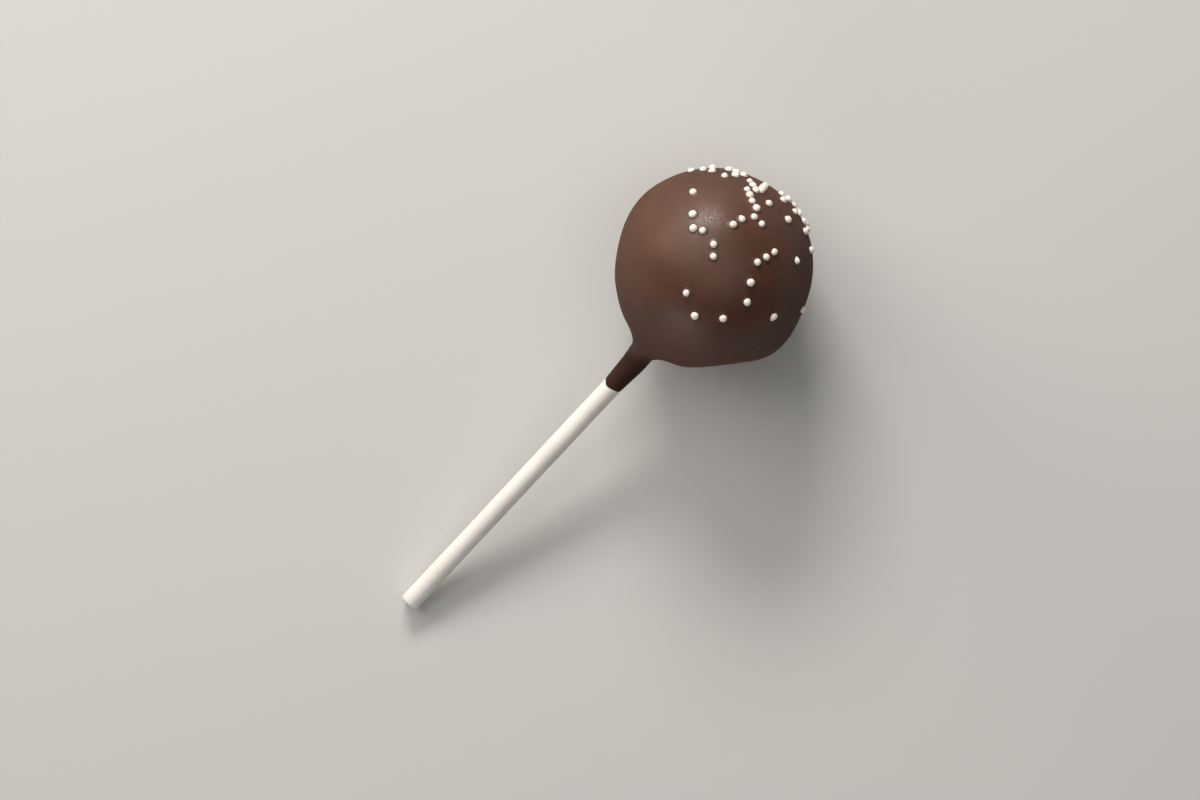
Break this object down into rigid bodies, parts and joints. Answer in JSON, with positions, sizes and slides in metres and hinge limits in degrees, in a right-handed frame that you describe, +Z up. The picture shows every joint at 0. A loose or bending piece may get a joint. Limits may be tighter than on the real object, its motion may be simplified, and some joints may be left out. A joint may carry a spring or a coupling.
{
  "type": "cake pop",
  "caption": "Ball of cake in a dark chocolate coating with small white sugar pearls, on a plain white paper stick, lying on its side.",
  "frame": {"origin": "middle of the small flat spot under the coated ball, on which the pop rests", "axes": "+X from the stick's bare tip towards the ball's crown, seen from above; +Z up, away from the surface it lies on"},
  "size_m": [0.115, 0.0419, 0.0414],
  "materials": {
    "chocolate_coating": "dark chocolate coating, satin",
    "sugar_pearl": "off-white sugar pearls, nearly matt",
    "rolled_paper": "tightly rolled white paper, matt"
  },
  "bodies": {
    "root": {"cake_ball": "chocolate_coating", "stick": "rolled_paper"}
  },
  "joints": []
}
